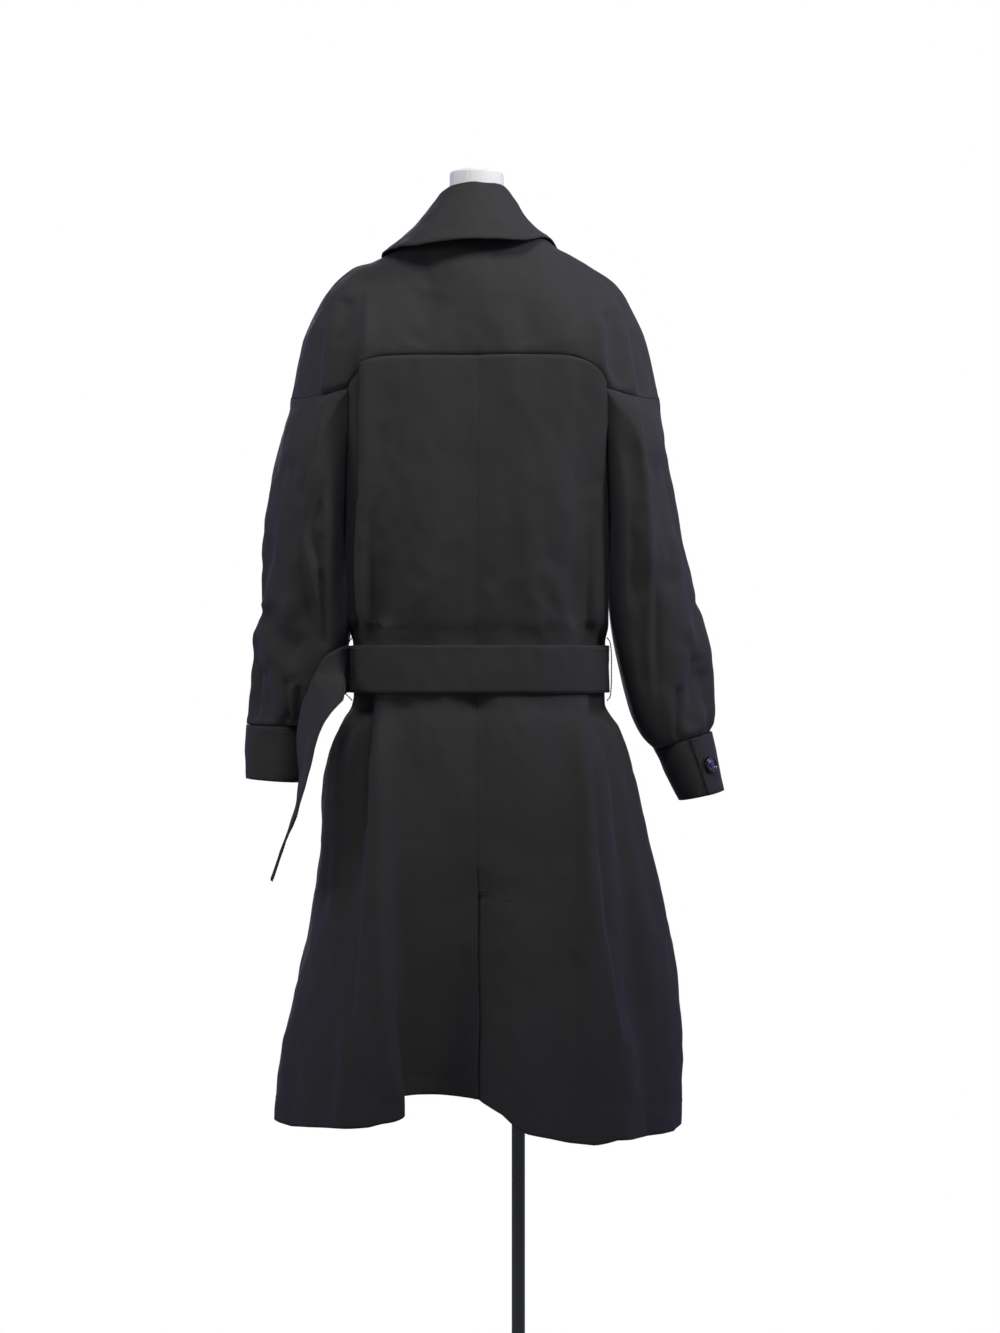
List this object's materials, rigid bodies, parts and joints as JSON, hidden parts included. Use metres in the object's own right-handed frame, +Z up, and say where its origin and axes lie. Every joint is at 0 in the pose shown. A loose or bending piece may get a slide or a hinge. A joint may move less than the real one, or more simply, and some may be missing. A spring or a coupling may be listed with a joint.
{
  "type": "trench coat on a dress form",
  "caption": "Knee-length belted trench coat with a back yoke, dropped shoulders, buttoned cuffs and a back vent, open walls of cloth on a limbless dress form and stand.",
  "frame": {"origin": "middle of the stand foot's underside, on the pole's axis", "axes": "+Z up; the coat's front faces -Y and its back +Y; +X is the wearer's left"},
  "size_m": [0.5789, 0.3613, 1.503],
  "materials": {
    "charcoal_twill": "matt cotton twill",
    "black_gloss": "polished",
    "black_thread": "matt thread",
    "white_cover": "smooth stretch cover",
    "grey_enamel": "satin"
  },
  "bodies": {
    "root": {"back_left": "charcoal_twill", "back_right": "charcoal_twill", "back_yoke": "charcoal_twill", "front_left": "charcoal_twill", "front_right": "charcoal_twill", "lapel_left": "charcoal_twill", "lapel_right": "charcoal_twill", "collar": "charcoal_twill", "sleeve_left": "charcoal_twill", "sleeve_right": "charcoal_twill", "cuff_left": "charcoal_twill", "cuff_right": "charcoal_twill", "belt": "charcoal_twill", "belt_buckle": "black_gloss", "belt_loop_left": "black_thread", "belt_loop_right": "black_thread", "front_button_edge_1": "black_gloss", "front_button_edge_2": "black_gloss", "front_button_edge_3": "black_gloss", "front_button_middle_1": "black_gloss", "front_button_middle_2": "black_gloss", "front_button_middle_3": "black_gloss", "cuff_button_left": "black_gloss", "cuff_button_right": "black_gloss", "form_torso": "white_cover", "form_neck": "white_cover", "stand_pole": "grey_enamel", "stand_base": "grey_enamel"}
  },
  "joints": []
}
